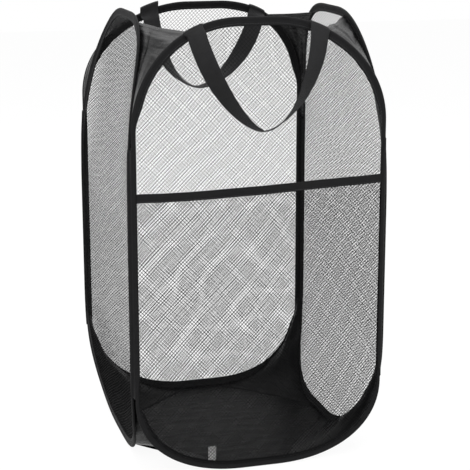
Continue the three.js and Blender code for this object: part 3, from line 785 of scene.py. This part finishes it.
def floor_sheet(name, height, tuck):
    """One of the two layers of the eight sided floor cloth."""
    corners = floor_corners(tuck)
    shares = np.linspace(0, 1, 16, endpoint=False)[:, None]
    border = np.concatenate([corners[k] + (corners[(k + 1) % 8] - corners[k]) * shares for k in range(8)])
    flat = border[None] * np.linspace(1, 0.02, 26)[:, None, None]
    x, y = flat[..., 0], flat[..., 1]
    ripple = 0.25 * MM * (np.sin(x * 47 + y * 21) + np.sin(y * 61 - x * 33 + 1))
    made, faces = closed_disc(np.stack([x, y, height + np.abs(ripple) * 0.8], axis=-1))
    piece = make(name, made, faces, DULL_NYLON, made[:, :2] / MM)
    corner_blend(piece)
    return piece


# Corner seams

# The strip's section from one binding to the gap between the two: how far in from the binding's outer
# edge, and how far out from its middle surface
STRIP_SECTION = np.array([[5.4, 1.9], [4.2, 2.35], [2.4, 2.55], [0.6, 2.0], [-0.5, 0.8], [-0.9, -0.6]]) * MM

# How far the strip runs past the gussets' tips, over what length it narrows there, and its half thickness
STRIP_BELOW = 12 * MM
STRIP_ABOVE = 26 * MM
STRIP_FADE = 30 * MM
STRIP_HALF = 0.25 * MM


def corner_seam(corner):
    """The strip that joins two bindings along the upright edge between them."""
    low, high = gusset_heights(False, 2)[0] - STRIP_BELOW, gusset_heights(True, 2)[0] + STRIP_ABOVE
    z = np.linspace(low, high, 110)
    share = (z - low) / (high - low)
    cx, cy = CORNERS[corner]
    sway = 0.25 * MM * wave(share, int(1000 * (cx + 2 * cy)) % 97, 5, 4, 14)
    ends = np.minimum(1, np.minimum(z - low, high - z) / STRIP_FADE)
    lap = (0.15 + 0.85 * np.sqrt(ends))[:, None]
    inward, outward = STRIP_SECTION.T[:, None, :]
    halves = []
    for side, end in zip((SIDES[name] for name in NEIGHBOURS[corner]), (-1, 1)):
        edge_x = np.minimum(edge_at_height(side, False, z)[0], edge_at_height(side, True, z)[0])
        inset = inward * np.where(inward > 1 * MM, lap, 1) + sway[:, None] * 0.5
        halves.append(on_side(side, end * (edge_x[:, None] - inset), z[:, None], outward))
    points = np.concatenate([halves[0], halves[1][:, ::-1]], axis=1)
    uv = grid_uv(length_along(points[len(z) // 2]), z[:, None])
    made, faces, uv = thick_sheet(points[:, ::-1], STRIP_HALF, uv)
    piece = make(f"corner_seam_{corner}", made, faces, TAPE, uv)
    corner_blend(piece)


# Pocket
POCKET_HEIGHT = 396 * MM
POCKET_BELLY = 13 * MM
POCKET_SEAT = 1.7 * MM
POCKET_TILT = 0.026
POCKET_SEAM_DROP = 10.2 * MM
POCKET_TAPE_FACE = 0.75 * MM
POCKET_TAPE_END = HALF - float(narrowed(BINDING_WIDTH, 0.0)) + 1 * MM

# Half of the pocket tape's section, from its upper edge down: how far down and how far out
POCKET_TAPE_HALF = np.array(
    [
        [0.0, 0.0], [0.1, 0.5], [0.5, 0.9], [1.6, 1.0], [5, 0.95], [9.3, 0.9], [10.2, 0.66], [10.9, 0.85],
        [11.7, 0.75], [12, 0.0],
    ]
) * MM


def pocket_offset(x, z):
    """How far the pocket stands out from the middle surface of the front."""
    open_share = np.clip(z / POCKET_HEIGHT, 0, 1)
    across = 1 - (x / (HALF - BINDING_WIDTH)) ** 2
    slack = 1 + 0.12 * np.sin(x * 38 + 0.8) * open_share**4
    return POCKET_SEAT + POCKET_BELLY * np.maximum(0, across) * np.sin(math.pi / 2 * open_share) * slack


def pocket_hem_height(x):
    """The upper edge of the pocket, which rises a little to the right and waves a little."""
    return POCKET_HEIGHT - 0.6 * MM + POCKET_TILT * x + 0.8 * MM * np.sin(x * 22 + 0.5)


def pocket_net():
    """The second net over the lower part of the front."""
    side = SIDES["front"]
    stations, _ = outline(side, OUTLINE_STEP)
    low = stations[stations[:, 1] < side["foot_rise"]]
    inner = low[:, :2] + low[:, 2:] * (narrowed(SEAM_INSET, low[:, 3:]) - NET_LAP)
    right, left = inner[inner[:, 0] > 0], inner[inner[:, 0] < 0]
    right, left = right[np.argsort(right[:, 1])], left[np.argsort(-left[:, 1])]
    edge_x = HALF - float(narrowed(SEAM_INSET, 0.0)) + NET_LAP
    tops = [[end * edge_x, float(pocket_hem_height(np.array(end * edge_x))) - 4 * MM] for end in (1, -1)]
    piece = net(
        "pocket_net", np.concatenate([left, right, tops]),
        lambda x, z, offset: on_side(side, x, z, pocket_offset(x, z) + offset), 7.3, **POCKET_NET,
    )
    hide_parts("pocket_mesh")
    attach(piece, "front_panel")


def pocket_tape():
    """The tape round the pocket's upper edge."""
    end = POCKET_TAPE_END
    x = np.linspace(-end, end, 150)
    section = closed_section(POCKET_TAPE_HALF)
    ripple = 0.3 * MM * wave((x + end) / (2 * end), 5, 5, 2, 12)[:, None]
    z = pocket_hem_height(x)[:, None] - section[None, :, 0] + ripple
    offset = pocket_offset(x[:, None], z) + section[None, :, 1] + ripple
    points = on_side(SIDES["front"], x[:, None], z, offset)
    uv = grid_uv(length_along(section), x[:, None] + end)
    count = len(section)
    caps = [list(range(count))[::-1], [(len(x) - 1) * count + k for k in range(count)]]
    faces = grid_faces(len(x), count, closed_columns=True).tolist() + caps
    tape = make("pocket_binding_tape", points, faces, TAPE, uv)
    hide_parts("pocket_binding")
    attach(tape, "front_panel")


def pocket_seam():
    """The stitches that hold the pocket's tape on its net."""
    reach = POCKET_TAPE_END - 2 * MM
    x = np.linspace(-reach, reach, int(2 * POCKET_TAPE_END / STITCH_PITCH))
    z = pocket_hem_height(x) - POCKET_SEAM_DROP
    offset = pocket_offset(x, z)
    faces = (offset + POCKET_TAPE_FACE, offset - POCKET_TAPE_FACE)
    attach(seam_on_side("pocket_binding_seam", SIDES["front"], x, z, faces), "front_panel")


# Handles
WEB_WIDTH = 25 * MM
WEB_HALF = 0.7 * MM
HANDLE_END = 85 * MM
PIVOT_RISE = 7.3 * MM
HOOK = 10 * MM
HUG = 6.5 * MM
HUG_FROM = 8 * MM
HUG_RUN = 55 * MM

# The sewn end: how many millimetres below the binding's edge and out each row on its far face lies, the
# angles in degrees of the rows over the edge, how far out and down these reach, and the row on its near face
FAR_ROWS = ((11.5, 1.6), (9, 1.65), (6.5, 1.9), (4.5, 2.7), (3.2, 3.0))
OVER_ANGLES = (20, 50, 90, 130, 160)
OVER_OUT = 3.1 * MM
OVER_DOWN = 3.3 * MM
NEAR_DOWN = 3.5 * MM
NEAR_OUT = 3.3 * MM

# The rows of half a loop as shares of the whole, and the smooth steps between two rows
LEG_SHARES = [0.075, 0.095, 0.12, 0.15, 0.18, 0.21, 0.25, 0.29, 0.33, 0.37, 0.41, 0.45]
ROW_STEPS = 5

# The two rows of stitches on a sewn end: how far below the binding's edge and how far out
SEAM_ROWS = ((4.6 * MM, 3.4 * MM), (10.3 * MM, 2.42 * MM))

# Each handle: how deep it hangs and how far beside the middle, how square each half of its bow is, which way
# it hangs (inwards is 1) and how far out, where its ends are sewn, how high their folds stand, how many
# degrees it has turned at its lowest point, and where out of the pivot its swing begins and is full, and the
# fall of the line between these places
HANDLES = {
    "front": {
        "drop": 142.5 * MM, "sway": -2 * MM, "powers": {-1: 1.5, 1: 1.75}, "way": -1, "far": 39.6 * MM,
        "ends": {-1: 85 * MM, 1: 85 * MM}, "folds": {-1: 1.0 * MM, 1: 1.0 * MM}, "lie": 80,
        "swings": (1.5 * MM, 8 * MM, 0.0),
    },
    "back": {
        "drop": 125 * MM, "sway": 9 * MM, "powers": {-1: 1.7, 1: 1.7}, "way": 1, "far": 10.5 * MM,
        "ends": {-1: 85 * MM, 1: 79.5 * MM}, "folds": {-1: 1.5 * MM, 1: 7.5 * MM}, "lie": 90,
        "swings": (3.2 * MM, 9.4 * MM, 0.1),
    },
}


def binding_top(side, x):
    """The height of the binding's outer edge above x."""
    arc_x, arc_z = corner_arc(side, True, np.linspace(0, math.pi / 2, 600))[:2]
    return np.interp(np.abs(x), arc_x[::-1], arc_z[::-1])


def handle_pivot(side):
    """The line about which a handle swings, as y and z in the side's own frame."""
    top = binding_top(side, np.array(HANDLE_END - WEB_WIDTH / 2))
    return float(lean(side, np.array(HANDLE_END), top)) - BINDING_THICKNESS / 2, float(top) + PIVOT_RISE


def handle_spine(side, facts, share):
    """The middle line of a handle's loop, from one end to the other."""
    pivot_y, pivot_z = handle_pivot(side)
    across = -np.cos(math.pi * share)
    half = -1 if across < 0 else 1
    power = facts["powers"][half]
    down = np.sin(math.pi * share) ** (2 / power)
    drop = facts["drop"] * down
    x = facts["ends"][half] * half * np.abs(across) ** (2 / power) + facts["sway"] * down
    rest = np.maximum(0, drop - HOOK) / (facts["drop"] - HOOK)
    out = HOOK * np.minimum(1, drop / HOOK) + (facts["far"] - HOOK) * rest
    out = out - HUG * (1 - np.clip((drop - HUG_FROM) / HUG_RUN, 0, 1)) ** 2
    return np.stack([x, pivot_y + facts["way"] * out, pivot_z - drop], axis=-1)


def loop_row(side, facts, share, across_web):
    """A row of points across the webbing, which turns its face up at the foot of the loop."""
    here = handle_spine(side, facts, np.array(share))
    before, after = (handle_spine(side, facts, np.array(share + by)) for by in (-0.01, 0.01))
    ahead = unit(after - before)
    out = np.array([0.0, facts["way"], 0.0])
    out = unit(out - ahead * out.dot(ahead))
    turn = math.radians(facts["lie"]) * math.sin(math.pi * share) ** 2
    wide = np.cross(out, ahead) * math.cos(turn) + out * math.sin(turn)
    return here + across_web[:, None] * wide


def end_rows(side, facts, end, across_web):
    """Rows of points from the sewn end, up the binding's far face, over its edge and down its near face."""
    way, rise = facts["way"], facts["folds"][end]
    x = end * facts["ends"][end] + across_web * way * end
    top = binding_top(side, x)
    rows = [beside_side(side, x, top - below * MM, way * out * MM) for below, out in FAR_ROWS]
    for angle in np.radians(OVER_ANGLES):
        row = beside_side(side, x, top, way * OVER_OUT * math.cos(angle))
        row[:, 2] = top + rise - OVER_DOWN * (1 - math.sin(angle))
        rows.append(row)
    rows.append(beside_side(side, x, top - NEAR_DOWN, -way * NEAR_OUT))
    return rows


def smooth_rows(rows, steps):
    """Rows of points with steps between each two on a smooth curve through them."""
    rows = np.array(rows)
    padded = np.concatenate([[2 * rows[0] - rows[1]], rows, [2 * rows[-1] - rows[-2]]])[:, None]
    p0, p1, p2, p3 = (padded[k:len(rows) - 1 + k] for k in range(4))
    s = np.linspace(0, 1, steps, endpoint=False)[:, None, None]
    cubic = (3 * p1 - p0 - 3 * p2 + p3) * s**3
    smooth = 0.5 * (2 * p1 + (p2 - p0) * s + (2 * p0 - 5 * p1 + 4 * p2 - p3) * s**2 + cubic)
    return np.concatenate([smooth.reshape(-1, *rows.shape[1:]), rows[-1:]])


def handle(name):
    """A loop of webbing with its two sewn ends."""
    side, facts = SIDES[name], HANDLES[name]
    across_web = np.linspace(-0.5, 0.5, 13) * WEB_WIDTH
    shares = LEG_SHARES + [0.5] + [1 - share for share in LEG_SHARES[::-1]]
    first, last = (end_rows(side, facts, end, across_web) for end in (-1, 1))
    loop = [loop_row(side, facts, share, across_web) for share in shares]
    points = to_world(side, smooth_rows(first + loop + last[::-1], ROW_STEPS))
    length = length_along(points[:, len(across_web) // 2])
    uv = grid_uv(across_web + WEB_WIDTH / 2, length[:, None])
    profile = WEB_HALF * (1 - np.abs(across_web / across_web[-1]) ** 6 * 0.55)
    made, faces, uv = thick_sheet(points, profile[None, :], uv)
    piece = make(f"{name}_handle_webbing", made, faces, WEBBING, uv)
    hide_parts(f"{name}_handle", f"{name}_handle_left_end", f"{name}_handle_right_end")
    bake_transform(piece)


def handle_seam(name):
    """The stitches that hold a handle's two ends."""
    side, facts = SIDES[name], HANDLES[name]
    across = np.linspace(-0.42, 0.42, 8) * WEB_WIDTH
    places = [(at + end * facts["ends"][end], *row) for end in (-1, 1) for row in SEAM_ROWS for at in across]
    x, below, on_web = np.array(places).T
    z = binding_top(side, x) - below
    middles = on_side(side, x, z, facts["way"] * on_web)
    up = unit(on_side(side, x, z, facts["way"] * (on_web + 1 * MM)) - middles)
    along = unit(on_side(side, x + 1 * MM, z, facts["way"] * on_web) - middles)
    seam = stitches(f"{name}_handle_seam", middles, along, up)
    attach(seam, PANELS[name])


# Care label
LABEL_X = -68 * MM
LABEL_WIDTH = 11 * MM
LABEL_LENGTH = 28 * MM


def care_label():
    """A blank white label, sewn in at the foot of the front."""
    side = SIDES["front"]
    across = np.linspace(-0.5, 0.5, 8)
    x = LABEL_X + LABEL_WIDTH * across
    stations, _ = outline(side, 2 * MM)
    foot = stations[stations[:, 1] < 60 * MM]
    foot = foot[np.argsort(foot[:, 0])]
    low = float(np.interp(LABEL_X, foot[:, 0], foot[:, 1])) + 4 * MM
    share = np.linspace(0, 1, 20)[:, None]
    z = low + LABEL_LENGTH * share
    curl = 0.35 * MM * np.sin(3 * share + 4 * across)
    points = on_side(side, x, z, -(3.0 - 1.9 * share) * MM + curl)
    uv = grid_uv(x, z)
    made, faces, uv = thick_sheet(points, 0.12 * MM, uv)
    piece = make("care_label_cloth", made, faces, LABEL, uv)
    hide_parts("care_label")
    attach(piece, "front_panel")


# The hamper
for side_name in SIDES:
    binding(side_name)
    binding_seam(side_name)
    side_net(side_name)
for number, corner_name in enumerate(CORNERS):
    top_gusset(corner_name, 20 + number)
    bottom_gusset(corner_name, 40 + number)
    corner_seam(corner_name)
upper_floor = floor_sheet("floor_cloth_front_left", FLOOR_LEVELS["upper"], FLOOR_TUCK)
floor_sheet("floor_cloth_back_right", FLOOR_LEVELS["lower"], 0)
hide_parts("floor")
pocket_net()
pocket_tape()
pocket_seam()
for side_name in HANDLES:
    handle(side_name)
    handle_seam(side_name)
care_label()
for node_name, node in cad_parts.items():
    if node_name.endswith(("_wire", "_wire_sleeve")):
        node.data.materials.clear()
        node.data.materials.append(STEEL)


# Stage, light and camera
STAGE_REACH = 6.0
STAGE_LEVEL = -0.5 * MM

# Each lamp: where it hangs, its width and height, and its power; all of them point at one place
LAMPS = {
    "key": ((-1.4, -2.0, 2.4), (1.6, 1.6), 60),
    "fill": ((2.2, -1.6, 1.4), (1.4, 1.8), 25),
    "top": ((0.0, 0.6, 2.6), (2.0, 2.0), 40),
}
LIT_PLACE = Vector((0, 0, 0.3))

# The photograph's camera: yaw, elevation and roll in degrees, its distance from the hamper's middle in
# metres, its focal length and its shift in pixels of the frame, and the frame's width in pixels
CAMERA_ANGLES = (15.68, 13.41, -0.16)
CAMERA_DISTANCE = 1.98447
CAMERA_FOCAL = 1378.01
CAMERA_SHIFT = (-9.79, -14.2)
FRAME_PIXELS = 470
SENSOR_WIDTH = 36


def seen_directly(tree):
    """1 for what the camera sees, also in metal and through glass, and 0 for what only lights the object."""
    path = add(tree, "ShaderNodeLightPath")
    mirrored = maths(tree, "MAXIMUM", path.outputs["Is Glossy Ray"], path.outputs["Is Transmission Ray"])
    return maths(tree, "MAXIMUM", path.outputs["Is Camera Ray"], mirrored)


def stage():
    made, tree, shader = material("ground", (0.92, 0.92, 0.92), 0.9, 0.0, 0.2)
    output = tree.nodes["Material Output"]
    glow = add(tree, "ShaderNodeEmission", {"Color": (1, 1, 1, 1), "Strength": 1.04})
    share = maths(tree, "MULTIPLY", seen_directly(tree), 0.9)
    mix = add(tree, "ShaderNodeMixShader", {0: share, 1: shader.outputs[0], 2: glow.outputs[0]})
    tree.links.new(mix.outputs[0], output.inputs["Surface"])
    ways = ((-1, -1), (1, -1), (1, 1), (-1, 1))
    corners = [[x * STAGE_REACH, y * STAGE_REACH, STAGE_LEVEL] for x, y in ways]
    make("ground", corners, [[0, 1, 2, 3]], made)


def light(name, place, size, power):
    lamp = bpy.data.lights.new(name, "AREA")
    lamp.shape = "RECTANGLE"
    lamp.size, lamp.size_y = size
    lamp.energy = power
    holder = bpy.data.objects.new(name, lamp)
    holder.location = place
    holder.rotation_mode = "QUATERNION"
    holder.rotation_quaternion = (LIT_PLACE - Vector(place)).to_track_quat("-Z", "Y")
    holder.visible_camera = False
    bpy.context.scene.collection.objects.link(holder)


def surroundings():
    world = bpy.data.worlds.new("studio")
    bpy.context.scene.world = world
    world.use_nodes = True
    tree = world.node_tree
    background = tree.nodes["Background"]
    background.inputs["Color"].default_value = (1, 1, 1, 1)
    tree.links.new(plus(tree, 0.45, seen_directly(tree), 0.55), background.inputs["Strength"])


def camera():
    yaw, elevation, roll = (math.radians(angle) for angle in CAMERA_ANGLES)
    level = math.cos(elevation)
    ahead = Vector((math.sin(yaw) * level, math.cos(yaw) * level, -math.sin(elevation)))
    right = Vector((math.cos(yaw), -math.sin(yaw), 0))
    up = right.cross(ahead)
    x_axis = right * math.cos(roll) + up * math.sin(roll)
    y_axis = up * math.cos(roll) - right * math.sin(roll)
    data = bpy.data.cameras.new("camera")
    data.sensor_width = SENSOR_WIDTH
    data.lens = CAMERA_FOCAL / FRAME_PIXELS * SENSOR_WIDTH
    data.shift_x = -CAMERA_SHIFT[0] / FRAME_PIXELS
    data.shift_y = CAMERA_SHIFT[1] / FRAME_PIXELS
    holder = bpy.data.objects.new("camera", data)
    turn = Matrix((x_axis, y_axis, -ahead)).transposed()
    place = Vector((0, 0, HEIGHT / 2)) - ahead * CAMERA_DISTANCE
    holder.matrix_world = Matrix.Translation(place) @ turn.to_4x4()
    bpy.context.scene.collection.objects.link(holder)
    bpy.context.scene.camera = holder


stage()
surroundings()
camera()
for lamp_name, lamp_facts in LAMPS.items():
    light(lamp_name, *lamp_facts)
bpy.context.scene.view_settings.view_transform = "Standard"
